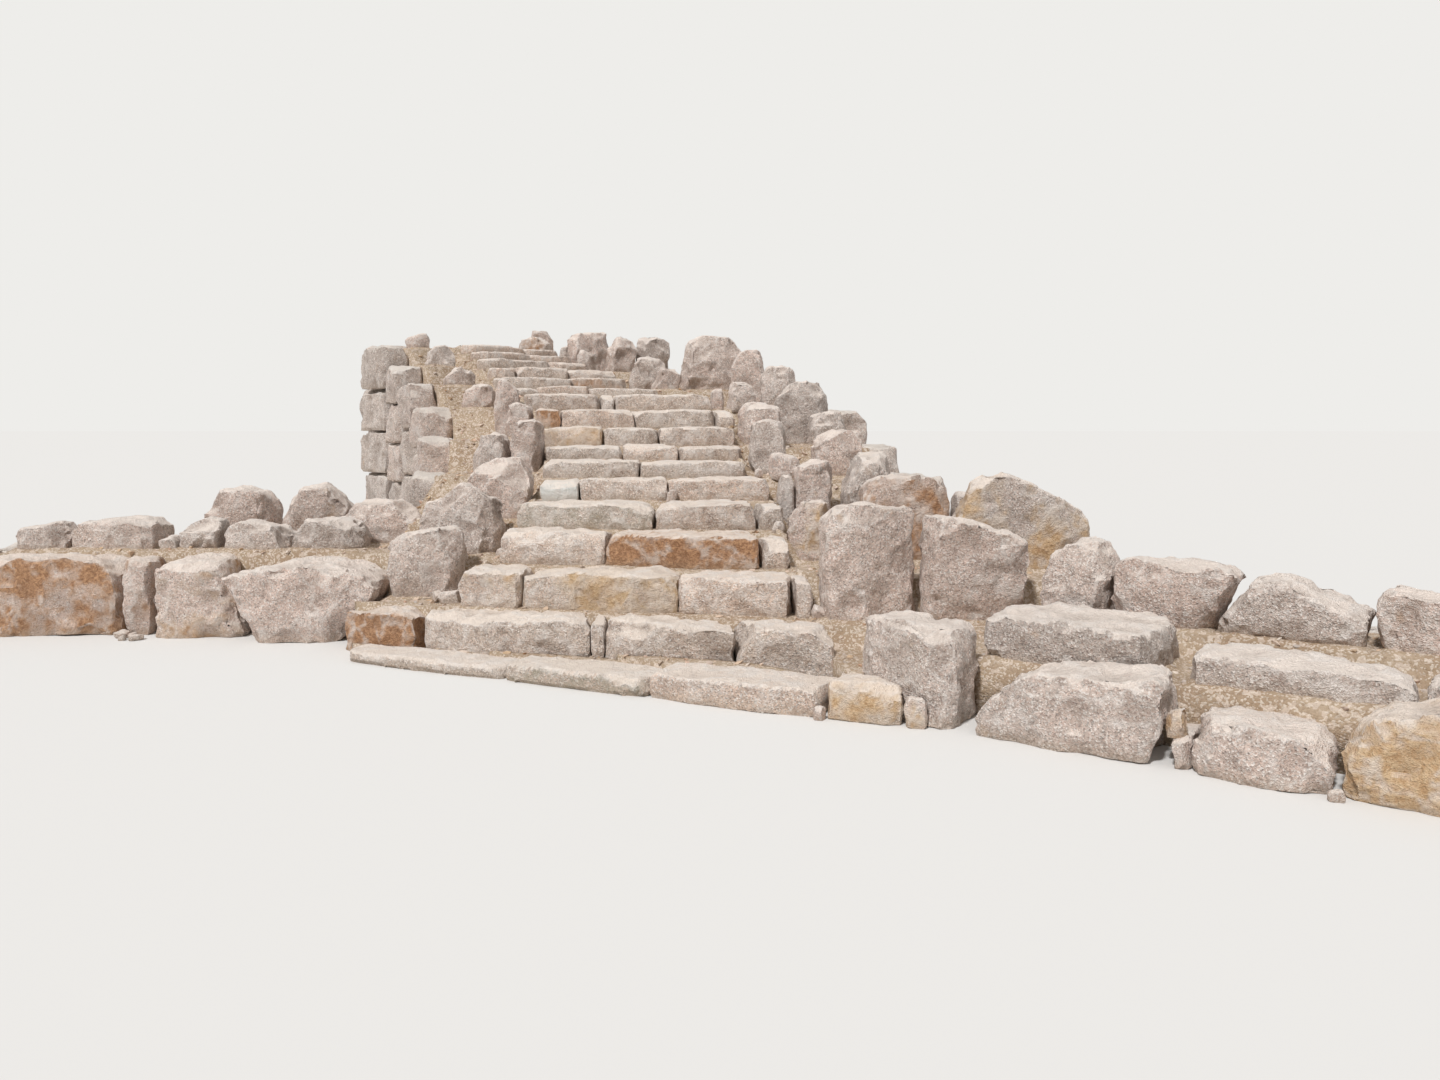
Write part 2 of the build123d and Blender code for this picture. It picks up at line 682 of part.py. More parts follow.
# The unseen sides. One line runs round the back of everything, from the left wing's end to the
# right wing's end, with the level that the stones of each bay reach up to.
FACED_LINE = (
    ((LEFT_WING_LEFT, 1500), LEFT_TERRACE, "left_flank"),
    ((LEFT_WING_LEFT, LEFT_WING_BACK), LEFT_TERRACE, "left_flank"),
    (OUTER_LEFT[7], LEFT_LEVEL[7], "left_flank"),
    (OUTER_LEFT[9], LEFT_LEVEL[9], "left_flank"),
    (OUTER_LEFT[11], LEFT_LEVEL[11], "left_flank"),
    (OUTER_LEFT[13], LEFT_LEVEL[13], "left_flank"),
    (OUTER_LEFT[15], LEFT_LEVEL[15], "left_flank"),
    (OUTER_LEFT[17], LEFT_LEVEL[17], "back_wall"),
    (OUTER_LEFT[18], tread_level(17), "back_wall"),
    (OUTER_RIGHT[18], RIGHT_LEVEL[17], "back_wall"),
    (OUTER_RIGHT[16], RIGHT_LEVEL[15], "back_wall"),
    (OUTER_RIGHT[14], RIGHT_LEVEL[13], "right_flank"),
    (OUTER_RIGHT[12], RIGHT_LEVEL[11], "right_flank"),
    (OUTER_RIGHT[10], RIGHT_LEVEL[9], "right_flank"),
    (OUTER_RIGHT[8], RIGHT_LEVEL[7], "right_flank"),
    (OUTER_RIGHT[6], RIGHT_LEVEL[5], "right_flank"),
    (OUTER_RIGHT[5], RIGHT_LEVEL[4], "right_flank"),
    (OUTER_RIGHT[4], RIGHT_LEVEL[3], "right_flank"),
    (OUTER_RIGHT[3], TERRACE_HIGH, "right_flank"),
    (wing(WING_LENGTH, terrace_three), TERRACE_HIGH, "right_flank"),
    (wing(WING_LENGTH, terrace_two), TERRACE_LOW, "right_flank"),
    (wing(WING_LENGTH, COURSE_ONE_DEPTH), 0, "right_flank"),
)
COURSE_HEIGHT = 480     # aim for the height of a facing course
BAY_STONE = 800         # and for the length of a facing stone


def outward(a, b):
    "Unit direction away from the benches for the bay from a to b."
    run = hypot(b[0] - a[0], b[1] - a[1])
    return ((a[1] - b[1]) / run, (b[0] - a[0]) / run)


def mitre(before, here, after):
    "Outer corner of the facing at one point of the line."
    if before is None:
        push = outward(here, after)
        return (here[0] + push[0] * FACING_THICK, here[1] + push[1] * FACING_THICK)
    if after is None:
        push = outward(before, here)
        return (here[0] + push[0] * FACING_THICK, here[1] + push[1] * FACING_THICK)
    one = outward(before, here)
    two = outward(here, after)
    scale = FACING_THICK / (1 + one[0] * two[0] + one[1] * two[1])
    return (here[0] + (one[0] + two[0]) * scale, here[1] + (one[1] + two[1]) * scale)


inner = [entry[0] for entry in FACED_LINE]
outer = [
    mitre(
        inner[k - 1] if k else None,
        inner[k],
        inner[k + 1] if k + 1 < len(inner) else None,
    )
    for k in range(len(inner))
]

for group in ("left_flank", "back_wall", "right_flank"):
    for remainder, name in ((0, group + "_low"), (1, group + "_high")):
        with BuildPart() as facing:
            for k in range(len(inner) - 1):
                if FACED_LINE[k][2] != group:
                    continue
                a, b, a_out, b_out = inner[k], inner[k + 1], outer[k], outer[k + 1]
                run = hypot(b[0] - a[0], b[1] - a[1])
                top = FACED_LINE[k][1] + FACING_PROUD
                courses = max(1, round(top / COURSE_HEIGHT))
                count = max(1, round(run / BAY_STONE))
                for course in range(remainder, courses, 2):
                    low_z = top * course / courses
                    high_z = top * (course + 1) / courses
                    shift = (0.14 if (course + k) % 2 else -0.14) / count
                    for stone in range(count):
                        near = stone / count + (shift if stone else 0)
                        far = (stone + 1) / count + (shift if stone + 1 < count else 0)
                        near += FACING_JOINT / 2 / run
                        far -= FACING_JOINT / 2 / run
                        column(
                            [
                                between(a, b, near),
                                between(a_out, b_out, near),
                                between(a_out, b_out, far),
                                between(a, b, far),
                            ],
                            low_z,
                            high_z,
                        )
                        knock_edges(facing, low_z, FACING_SPLIT)
        if facing.part is not None and facing.part.solids():
            save(facing, name)
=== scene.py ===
from math import atan, cos, hypot, radians, sin

import bmesh
import bpy
import numpy as np
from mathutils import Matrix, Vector
from mathutils.geometry import delaunay_2d_cdt


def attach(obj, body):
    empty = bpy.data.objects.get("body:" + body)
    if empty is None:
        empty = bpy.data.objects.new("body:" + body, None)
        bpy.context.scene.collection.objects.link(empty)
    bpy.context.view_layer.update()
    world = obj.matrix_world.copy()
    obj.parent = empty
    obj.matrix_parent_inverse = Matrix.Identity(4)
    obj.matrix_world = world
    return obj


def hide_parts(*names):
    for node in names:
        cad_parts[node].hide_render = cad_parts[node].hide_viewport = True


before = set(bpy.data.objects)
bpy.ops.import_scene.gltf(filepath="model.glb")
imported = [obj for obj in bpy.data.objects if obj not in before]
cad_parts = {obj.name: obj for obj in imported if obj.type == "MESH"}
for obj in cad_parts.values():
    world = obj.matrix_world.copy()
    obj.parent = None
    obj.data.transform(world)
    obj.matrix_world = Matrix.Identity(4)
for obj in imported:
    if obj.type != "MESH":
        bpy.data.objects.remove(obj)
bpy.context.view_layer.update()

# The viewpoint
# A standing person's eye on level ground in front of the steps, looking a little down
# over the foot of the flight, with a phone's wide main camera.
EYE = (0.8, -6.4, 1.6)
LOOK_DOWN = 6.33
LENS = 27.03

camera = bpy.data.cameras.new("viewpoint")
camera.lens = LENS
camera.sensor_width = 36
camera.clip_start = 0.1
camera.clip_end = 500
eye = bpy.data.objects.new("viewpoint", camera)
eye.location = EYE
eye.rotation_euler = (radians(90 - LOOK_DOWN), 0, 0)
bpy.context.scene.collection.objects.link(eye)
bpy.context.scene.camera = eye
bpy.context.scene.view_settings.view_transform = "Standard"


# The floor, the backdrop and the lamps
# A plain pale studio floor that keeps the soft shadow of the stones, a pale backdrop all round,
# and one broad lamp high on the left over an even fill light, as on a bright hazy day.
def linear(code):
    "A linear colour from an sRGB hex code."
    values = [int(code[k:k + 2], 16) / 255 for k in (1, 3, 5)]
    return (*[v / 12.92 if v <= 0.04045 else ((v + 0.055) / 1.055) ** 2.4 for v in values], 1)


def add(tree, kind, links=None, **settings):
    """Adds a node with its settings, and for each input a value, a socket to link or a node, which
    stands for the first of its outputs that is in use."""
    made = tree.nodes.new(kind)
    for name, value in settings.items():
        setattr(made, name, value)
    for name, value in (links or {}).items():
        if isinstance(value, bpy.types.Node):
            value = next(out for out in value.outputs if out.enabled)
        if isinstance(value, bpy.types.NodeSocket):
            tree.links.new(value, made.inputs[name])
        else:
            made.inputs[name].default_value = value
    return made


PALE = "#EEEDEA"
FLOOR_PAINT = "#E0DEDB"
FLOOR_HALF = 150        # metres from its middle to its edge
SKY_LIGHT = 0.5
LAMP_POWER = 2.6
LAMP_HEIGHT = 50        # degrees above the horizon
LAMP_SIDE = -30         # degrees round from the viewer, to the left
LAMP_SOFT = 6           # degrees that the lamp fills in the sky

world = bpy.data.worlds.new("pale_surround")
bpy.context.scene.world = world
world.use_nodes = True
tree = world.node_tree
tree.nodes.clear()
ray = add(tree, "ShaderNodeLightPath")
seen = ray.outputs["Is Camera Ray"]
for kind in ("Is Glossy Ray", "Is Transmission Ray"):
    seen = add(tree, "ShaderNodeMath", {0: seen, 1: ray.outputs[kind]}, operation="MAXIMUM")
light = add(tree, "ShaderNodeBackground", {"Color": linear("#FFFFFF"), "Strength": SKY_LIGHT})
shown = add(tree, "ShaderNodeBackground", {"Color": linear(PALE), "Strength": 1.0})
both = add(tree, "ShaderNodeMixShader", {0: seen, 1: light, 2: shown})
add(tree, "ShaderNodeOutputWorld", {"Surface": both})

lamp = bpy.data.lights.new("broad_lamp", "SUN")
lamp.energy = LAMP_POWER
lamp.angle = radians(LAMP_SOFT)
lamp_place = bpy.data.objects.new("broad_lamp", lamp)
toward = Vector((sin(radians(LAMP_SIDE)) * cos(radians(LAMP_HEIGHT)),
                 -cos(radians(LAMP_SIDE)) * cos(radians(LAMP_HEIGHT)),
                 sin(radians(LAMP_HEIGHT))))
lamp_place.rotation_euler = toward.to_track_quat("Z", "Y").to_euler()
bpy.context.scene.collection.objects.link(lamp_place)

floor_mesh = bpy.data.meshes.new("studio_floor")
floor_mesh.from_pydata(
    [(-FLOOR_HALF, -FLOOR_HALF, 0), (FLOOR_HALF, -FLOOR_HALF, 0),
     (FLOOR_HALF, FLOOR_HALF, 0), (-FLOOR_HALF, FLOOR_HALF, 0)], [], [(0, 1, 2, 3)])
studio_floor = bpy.data.objects.new("studio_floor", floor_mesh)
bpy.context.scene.collection.objects.link(studio_floor)
painted = bpy.data.materials.new("pale_painted_floor")
painted.use_nodes = True
tree = painted.node_tree
tree.nodes.clear()
paint = add(tree, "ShaderNodeBsdfDiffuse", {"Color": linear(FLOOR_PAINT)})
add(tree, "ShaderNodeOutputMaterial", {"Surface": paint})
floor_mesh.materials.append(painted)


# The step stones
# Long blocks of pinkish granite, split with wedges and laid in seventeen rows with open joints.
# Every face is a rough split surface, the tops are bleached paler and carry a painted highlight,
# the arrises are chipped and painted lighter, and the foot and hollows carry painted shade.
HASH_PLACE = (2375939907, 3625334849, 3407524639)
HASH_MIX = (739982445, 695872825)


def lattice(points, cell, seed):
    "A smooth random value between about -1 and 1 at each point, changing over one cell."
    place = points / cell + seed * 7.31
    corner = np.floor(place)
    part = place - corner
    fade = part * part * part * (part * (part * 6 - 15) + 10)
    corner = corner.astype(np.int64).astype(np.uint32)
    total = np.zeros(len(points))
    for bits in range(8):
        step = np.array([bits & 1, bits >> 1 & 1, bits >> 2 & 1])
        at = corner + step.astype(np.uint32)
        mixed = np.uint32(seed * 97 + 13)
        for axis in range(3):
            mixed = at[:, axis] * np.uint32(HASH_PLACE[axis]) ^ mixed
        mixed = (mixed ^ mixed >> np.uint32(15)) * np.uint32(HASH_MIX[0])
        mixed = (mixed ^ mixed >> np.uint32(12)) * np.uint32(HASH_MIX[1])
        mixed = mixed ^ mixed >> np.uint32(15)
        away = part - step
        lean = np.zeros(len(points))
        for axis in range(3):
            lean += ((mixed >> np.uint32(axis * 10) & np.uint32(1023)) / 511.5 - 1) * away[:, axis]
        weight = np.where(step, fade, 1 - fade).prod(axis=1)
        total += weight * lean
    return total * 1.5


def solids_of(name):
    "The solids of one CAD node from left to right, each as its points and its triangles."
    shape = bmesh.new()
    shape.from_mesh(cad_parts[name].data)
    bmesh.ops.remove_doubles(shape, verts=shape.verts, dist=1e-5)
    bmesh.ops.triangulate(shape, faces=shape.faces)
    shape.verts.ensure_lookup_table()
    left = set(shape.verts)
    found = []
    while left:
        start = next(v for v in shape.verts if v in left)
        left.discard(start)
        group, edge_of = [start], [start]
        while edge_of:
            for link in edge_of.pop().link_edges:
                for vert in link.verts:
                    if vert in left:
                        left.discard(vert)
                        group.append(vert)
                        edge_of.append(vert)
        number = {vert: k for k, vert in enumerate(group)}
        faces = {face for vert in group for face in vert.link_faces}
        faces = sorted([number[v] for v in face.verts] for face in faces)
        found.append((np.array([v.co[:] for v in group]), faces))
    shape.free()
    return sorted(found, key=lambda solid: solid[0][:, 0].mean())


def flat_faces(points, triangles):
    "The plane, area, middle and width of each flat face of a convex solid."
    found = {}
    for a, b, c in triangles:
        across = np.cross(points[b] - points[a], points[c] - points[a])
        size = np.linalg.norm(across)
        if size < 1e-9:
            continue
        normal = across / size
        key = tuple(np.round(normal, 2) + 0.0)
        middle = (points[a] + points[b] + points[c]) / 3
        old = found.get(key)
        if old is None:
            found[key] = [normal, normal @ points[a], size / 2, middle * size / 2]
        else:
            old[2] += size / 2
            old[3] += middle * size / 2
    faces = []
    for normal, offset, area, middle in found.values():
        rim = points[abs(points @ normal - offset) < 1e-4]
        length = max(np.linalg.norm(rim - one, axis=1).max() for one in rim)
        faces.append((normal, offset, area, middle / area, area / length))
    return faces


MAIN_FACE = 0.08            # least share of a stone's skin that counts as one of its main faces
STEEPEST = radians(34)      # most that a split leans away from the face it broke from
KNOCKED_WIDTH = 0.09        # a face narrower than this is a knocked arris


def extra_splits(points, faces, dice, crown, corner_cut, corners):
    "Planes that lean away from the main faces and cut the corners, as a split block has."
    planes = []
    whole = sum(face[2] for face in faces)
    plan = points[:, :2] - points[:, :2].mean(axis=0)
    along = np.append(np.linalg.svd(plan, full_matrices=False)[2][0], 0)
    for normal, offset, area, middle, width in faces:
        if area < whole * MAIN_FACE or normal[2] < -0.5:
            continue
        top = normal[2] > 0.8
        for turn in range(2 if top else 3):
            tangent = np.cross(normal, dice.normal(size=3))
            tangent /= np.linalg.norm(tangent)
            if top:
                tangent = tangent * 0.35 + along * (1 - 2 * turn)
                tangent -= normal * (tangent @ normal)
                tangent /= np.linalg.norm(tangent)
            reach = ((points - middle) @ tangent).max()
            start = dice.uniform(0.1 if top else 0.25, 0.8) * reach
            most = crown * (0.8 if top else 1) * dice.uniform(0.3, 1)
            angle = min(STEEPEST, atan(most / (reach - start)))
            leaning = normal * cos(angle) + tangent * sin(angle)
            planes.append((leaning, leaning @ (middle + tangent * start)))
    for turn in range(corners):
        way = dice.normal(size=3)
        way[2] = abs(way[2]) * 0.8
        way /= np.linalg.norm(way)
        planes.append((way, (points @ way).max() - corner_cut * dice.uniform(0.2, 1)))
    return planes


def remeshed(points, triangles, voxel):
    "An even fine mesh over a solid."
    block = bpy.data.meshes.new("block")
    block.from_pydata(points.tolist(), [], triangles)
    holder = bpy.data.objects.new("block", block)
    bpy.context.scene.collection.objects.link(holder)
    change = holder.modifiers.new("even", "REMESH")
    change.mode = "VOXEL"
    change.voxel_size = voxel
    graph = bpy.context.evaluated_depsgraph_get()
    fine = bpy.data.meshes.new_from_object(holder.evaluated_get(graph))
    places = np.empty(len(fine.vertices) * 3)
    fine.vertices.foreach_get("co", places)
    corners = np.empty(len(fine.loops), np.int64)
    fine.loops.foreach_get("vertex_index", corners)
    bpy.data.objects.remove(holder)
    bpy.data.meshes.remove(block)
    bpy.data.meshes.remove(fine)
    return places.reshape(-1, 3), corners.reshape(-1, 4)


WAVE = (0.42, 0.016)        # length and height of the waves in a split face, in metres
# Scars of the flakes that broke away, shallow hollows that meet in sharp ridges: for each size its
# width, its depth and how far it is set in
SCARS = ((0.27, 0.062, -0.010), (0.11, 0.020, -0.003))
GRIT = (0.05, 0.007)        # width and height of the small bumps
EDGE_REACH = 0.04           # how far from an arris it is chipped
CHIP_WIDTH = 0.09
CHIP_DEPTH = 0.022
NEAREST_FACES = 3           # faces that meet at most near one point
PASSES = 3                  # times that the mesh is drawn onto the stone's skin


def split_stone(points, triangles, voxel, seed, crown, corner_cut, corners, rough, arris, proud):
    """The fine mesh of one rough-split stone: its points and faces, and for each point how deep it
    lies and how near an arris."""
    dice = np.random.default_rng(seed)
    faces = flat_faces(points, triangles)
    planes = []
    for normal, offset, area, middle, width in faces:
        knocked = width < KNOCKED_WIDTH and abs(normal).max() < 0.97
        planes.append((normal, offset + (dice.uniform(0.1, 0.45) * width if knocked else 0)))
    planes += extra_splits(points, faces, dice, crown, corner_cut, corners)
    normals = np.array([plane[0] for plane in planes])
    offsets = np.array([plane[1] for plane in planes])
    seat = normals[:, 2] < -0.9
    places, quads = remeshed(points, triangles, voxel)
    own = seed % 50
    for turn in range(PASSES):
        wander = np.stack([lattice(places, WAVE[0], own + k) for k in (7, 8, 9)], axis=1)
        over = (places + wander * WAVE[1] * rough) @ normals.T - offsets
        nearest = np.argpartition(-over, NEAREST_FACES, axis=1)[:, :NEAREST_FACES]
        height = np.take_along_axis(over, nearest, axis=1)
        where = (places[:, None, :] + nearest[:, :, None] * 3.7).reshape(-1, 3)
        relief = lattice(where, GRIT[0], own + 2) * GRIT[1]
        for k, (scar, deep, inset) in enumerate(SCARS):
            relief += np.abs(lattice(where, scar, own + 3 + k)) * deep + inset
        relief = (relief * rough - proud).reshape(-1, NEAREST_FACES)
        relief[seat[nearest]] = 0
        height = height + relief
        order = np.sort(height, axis=1)
        near_edge = np.clip(1 - (order[:, 2] - order[:, 1]) / EDGE_REACH, 0, 1) ** 2
        chip = np.clip(lattice(places, CHIP_WIDTH, own + 5) * 2 - 0.1, 0, 1)
        height = height + (near_edge * chip * CHIP_DEPTH * rough)[:, None] * ~seat[nearest]
        top = height.max(axis=1)
        share = np.exp((height - top[:, None]) / arris)
        total = share.sum(axis=1)
        surface = top + arris * np.log(total)
        share /= total[:, None]
        way = (normals[nearest] * share[:, :, None]).sum(axis=1)
        way /= np.maximum((way * way).sum(axis=1), 0.2)[:, None]
        places = places - way * surface[:, None]
        # How deep each point lies in a hollow, which the material darkens as dirt and painted shade
        depth = (relief * share).sum(axis=1) + proud
    places[:, 2] = np.maximum(places[:, 2], points[:, 2].min())
    return places, quads, depth, near_edge


DRIFT = 9.0                 # most that the pattern is moved from stone to stone, in metres


def split_granite(name, warm, cool, bleached_and_lit_top):
    """Split granite, quarried and broken by wedges. Feldspar, quartz and mica give it a coarse
    pink, grey and black speckle, rain and feet bleach its tops, iron in it weathers to rust. Its
    tops and arrises are also painted lighter as a painted highlight, and its foot and hollows
    darker as painted shade."""
    made = bpy.data.materials.new(name)
    made.use_nodes = True
    tree = made.node_tree
    tree.nodes.clear()
    here = add(tree, "ShaderNodeTexCoord").outputs["Object"]
    drift = add(tree, "ShaderNodeAttribute", attribute_name="drift").outputs["Vector"]
    place = add(tree, "ShaderNodeVectorMath", {0: here, 1: drift})
    cast = add(tree, "ShaderNodeAttribute", attribute_name="cast")
    own_tone, rust, ochre = add(tree, "ShaderNodeSeparateColor", {0: cast}).outputs
    pit, foot, arris = [add(tree, "ShaderNodeAttribute", attribute_name=label).outputs["Fac"]
                        for label in ("pit", "foot", "arris")]
    # Patches 360 mm across, mottling of 90 mm in them and grain of 22 mm
    broad, cloud, fine = [
        add(tree, "ShaderNodeTexNoise",
            {"Vector": place, "Scale": 1 / metres, "Detail": detail, "Roughness": roughness})
        for metres, detail, roughness in ((0.36, 3, 0.6), (0.09, 6, 0.68), (0.022, 4, 0.7))]
    # Crystals are 3 to 8 mm across in the real stone; they are drawn 8 mm wide so that they show
    crystals = add(tree, "ShaderNodeTexVoronoi", {"Vector": place, "Scale": 1 / 0.008})
    quartz, mica, feldspar = add(
        tree, "ShaderNodeSeparateColor", {0: crystals.outputs["Color"]}).outputs
    # Some stones are warmer and some cooler all over
    leaning = add(tree, "ShaderNodeMapRange",
                  {"Value": add(tree, "ShaderNodeSeparateXYZ", {0: drift}), "From Min": -DRIFT,
                   "From Max": DRIFT, "To Max": 0.45}, interpolation_type="SMOOTHSTEP")
    blend = add(tree, "ShaderNodeMath", {0: broad, 1: 0.55, 2: leaning}, operation="MULTIPLY_ADD")
    colour = linear(warm)
    for value, low, high, most, tint in ((blend, 0.25, 0.75, 1.0, cool),
                                         (cloud, 0.4, 0.7, 0.6, "#A39186"),
                                         (quartz, 0.7, 0.8, 0.7, "#F5EEE7"),
                                         (mica, 0.8, 0.9, 0.5, "#76675F"),
                                         (feldspar, 0.76, 0.84, 0.25, "#C99F8C")):
        share = add(tree, "ShaderNodeMapRange",
                    {"Value": value, "From Min": low, "From Max": high, "To Max": most},
                    interpolation_type="SMOOTHSTEP")
        colour = add(tree, "ShaderNodeMix", {0: share, 6: colour, 7: linear(tint)},
                     data_type="RGBA")
    # Each stone is a little lighter or darker than the next
    shade = add(tree, "ShaderNodeMapRange",
                {"Value": fine, "From Min": 0.3, "From Max": 0.7, "To Min": 0.75, "To Max": 1.22})
    shade = add(tree, "ShaderNodeMath", {0: shade, 1: own_tone}, operation="MULTIPLY")
    colour = add(tree, "ShaderNodeMix", {0: 1.0, 6: colour, 7: shade}, data_type="RGBA",
                 blend_type="MULTIPLY")
    # Iron in the stone weathers to red-brown rust and to ochre, in patches with a ragged edge
    edge = add(tree, "ShaderNodeMath", {0: broad, 1: 0.7}, operation="MULTIPLY")
    edge = add(tree, "ShaderNodeMath", {0: cloud, 1: 0.3, 2: edge}, operation="MULTIPLY_ADD")
    grain = add(tree, "ShaderNodeMapRange", {"Value": fine, "From Min": 0.38, "From Max": 0.62},
                interpolation_type="SMOOTHSTEP")
    for share, deep, pale, halo in ((ochre, "#C0976A", "#DBBB92", "#DCC6AC"),
                                    (rust, "#93653F", "#C4946A", "#D0AF95")):
        stained = add(tree, "ShaderNodeMath", {0: share, 1: 0.5, 2: edge},
                      operation="MULTIPLY_ADD")
        stain = add(tree, "ShaderNodeMix", {0: grain, 6: linear(deep), 7: linear(pale)},
                    data_type="RGBA")
        for low, high, most, tint in ((0.60, 0.76, 0.55, linear(halo)), (0.68, 0.82, 0.85, stain)):
            cover = add(tree, "ShaderNodeMapRange",
                        {"Value": stained, "From Min": low, "From Max": high, "To Max": most},
                        interpolation_type="SMOOTHSTEP")
            colour = add(tree, "ShaderNodeMix", {0: cover, 6: colour, 7: tint}, data_type="RGBA")
    # One of the step stones is milky quartz, marked by an ochre below nothing
    milky = add(tree, "ShaderNodeMath", {0: ochre, 1: -1.0}, operation="MULTIPLY")
    # Algae colour a few stones grey-green in clouds
    cover = add(tree, "ShaderNodeMapRange",
                {"Value": cloud, "From Min": 0.3, "From Max": 0.7, "To Max": 0.7},
                interpolation_type="SMOOTHSTEP")
    algae = add(tree, "ShaderNodeMath", {0: cast.outputs["Alpha"], 1: cover},
                operation="MULTIPLY")
    for share, tint in ((milky, "#E3E5E1"), (algae, "#A3A18C")):
        colour = add(tree, "ShaderNodeMix", {0: share, 6: colour, 7: linear(tint)},
                     data_type="RGBA")
    # Where each cover lies, what breaks it up, how dense it is and its colour: rain and feet bleach
    # the tops and a painted highlight makes them paler still, broken arrises show fresh stone and a
    # painted highlight, the foot is darker with soil splashed up from the ground and painted shade,
    # and the hollows hold dirt and painted shade
    facing_up = add(tree, "ShaderNodeSeparateXYZ",
                    {0: add(tree, "ShaderNodeNewGeometry").outputs["Normal"]}).outputs["Z"]
    for where, low, high, broken, least, full, most, tint in (
            (facing_up, 0.3, 0.85, cloud, 0.1, 0.55, 0.8, bleached_and_lit_top),
            (arris, 0.45, 0.95, cloud, 0.35, 0.6, 0.55, "#F1E9E2"),
            (foot, 0.0, 1.0, 1.0, 0.0, 1.0, 0.35, "#AB957C"),
            (pit, 0.006, 0.04, fine, 0.2, 0.8, 0.6, "#826E60")):
        lying = add(tree, "ShaderNodeMapRange",
                    {"Value": where, "From Min": low, "From Max": high},
                    interpolation_type="SMOOTHSTEP")
        dense = add(tree, "ShaderNodeMapRange",
                    {"Value": broken, "From Min": least, "From Max": full, "To Max": most},
                    interpolation_type="SMOOTHSTEP")
        share = add(tree, "ShaderNodeMath", {0: lying, 1: dense}, operation="MULTIPLY")
        colour = add(tree, "ShaderNodeMix", {0: share, 6: colour, 7: linear(tint)},
                     data_type="RGBA")
    # Small ridged scars about 75 mm apart, too fine for the mesh
    scars = add(tree, "ShaderNodeTexNoise",
                {"Vector": place, "Scale": 1 / 0.075, "Detail": 5.0, "Roughness": 0.6},
                noise_type="RIDGED_MULTIFRACTAL")
    rise = 0.0
    for value, weight in ((cloud, 0.45), (fine, 0.55), (scars, 0.3), (crystals, 0.14)):
        rise = add(tree, "ShaderNodeMath", {0: value, 1: weight, 2: rise},
                   operation="MULTIPLY_ADD")
    bump = add(tree, "ShaderNodeBump", {"Height": rise, "Strength": 1.0, "Distance": 0.045})
    dull = add(tree, "ShaderNodeMapRange", {"Value": fine, "To Min": 0.78, "To Max": 0.95})
    skin = add(tree, "ShaderNodeBsdfPrincipled",
               {"Base Color": colour, "Normal": bump, "IOR": 1.54, "Roughness": dull,
                "Specular IOR Level": 0.35})
    add(tree, "ShaderNodeOutputMaterial", {"Surface": skin})
    return made


PLAIN_MARK = (1.0, 0.0, 0.0, 0.0)
SHARP = radians(24)         # ridges steeper than this are drawn sharp
FULL_STONE = 0.4            # thinnest side of a stone that is split at full depth, in metres
SPLASH_AND_SHADE_HEIGHT = 0.09               # height up a stone to which its foot is darkened, by splashed soil and painted shade
PROUD = 0.004               # how far a stone's skin is moved out to make up for its scars
TONES = (0.88, 1.06)        # how much darker or lighter one stone is than the next


def lay_stones(name, slot, material, voxel, seed, marks, crown, corner_cut, corners, rough, arris,
               solids=None):
    "Dresses every solid of a CAD node, or the given ones, as a rough stone, all in one piece."
    dice = np.random.default_rng(seed)
    size = voxel * 1
    places, quads, depths, drifts, casts, feet, edges = [], [], [], [], [], [], []
    count = 0
    for k, (points, triangles) in enumerate(solids or solids_of(name)):
        spans = points.max(axis=0) - points.min(axis=0)
        limit = min(1, spans.min() / FULL_STONE)
        made, faces, depth, edge = split_stone(
            points, triangles, min(size, spans.min() / 7), seed * 40 + k, crown * limit,
            corner_cut * limit, corners, rough * min(1, limit * 1.4), arris * limit, PROUD)
        tone, rust, ochre, algae = marks.get(k, PLAIN_MARK)
        tone *= dice.uniform(*TONES)
        places.append(made)
        quads.append(faces + count)
        depths.append(depth)
        drifts.append(np.tile(dice.uniform(-DRIFT, DRIFT, 3), (len(made), 1)))
        casts.append(np.tile((tone, rust, ochre, algae), (len(made), 1)))
        # Each point's nearness to the ground, which the material darkens as splashed soil and
        # painted shade
        feet.append(np.clip(1 - (made[:, 2] - points[:, 2].min()) / SPLASH_AND_SHADE_HEIGHT, 0, 1))
        # How near an arris each point lies, which the material paints lighter as fresh stone and a
        # painted highlight
        edges.append(edge)
        count += len(made)
    mesh = bpy.data.meshes.new(name + "_stones")
    mesh.from_pydata(np.concatenate(places).tolist(), [], np.concatenate(quads).tolist())
    for label, kind, field, values in (("pit", "FLOAT", "value", depths),
                                       ("foot", "FLOAT", "value", feet),
                                       ("arris", "FLOAT", "value", edges),
                                       ("drift", "FLOAT_VECTOR", "vector", drifts),
                                       ("cast", "FLOAT_COLOR", "color", casts)):
        held = mesh.attributes.new(label, kind, "POINT")
        held.data.foreach_set(field, np.concatenate(values).ravel())
    mesh.shade_smooth()
    mesh.set_sharp_from_angle(angle=SHARP)
    mesh.materials.append(material)
    piece = bpy.data.objects.new(name + "_stones", mesh)
    bpy.context.scene.collection.objects.link(piece)
    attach(piece, "root")
    if solids is None:
        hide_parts(name)


# The last colour paints the tops paler, as bleaching and as a painted highlight
step_granite = split_granite("split_granite_steps", "#E2CBBA", "#D4C5B8", "#FFF0E2")
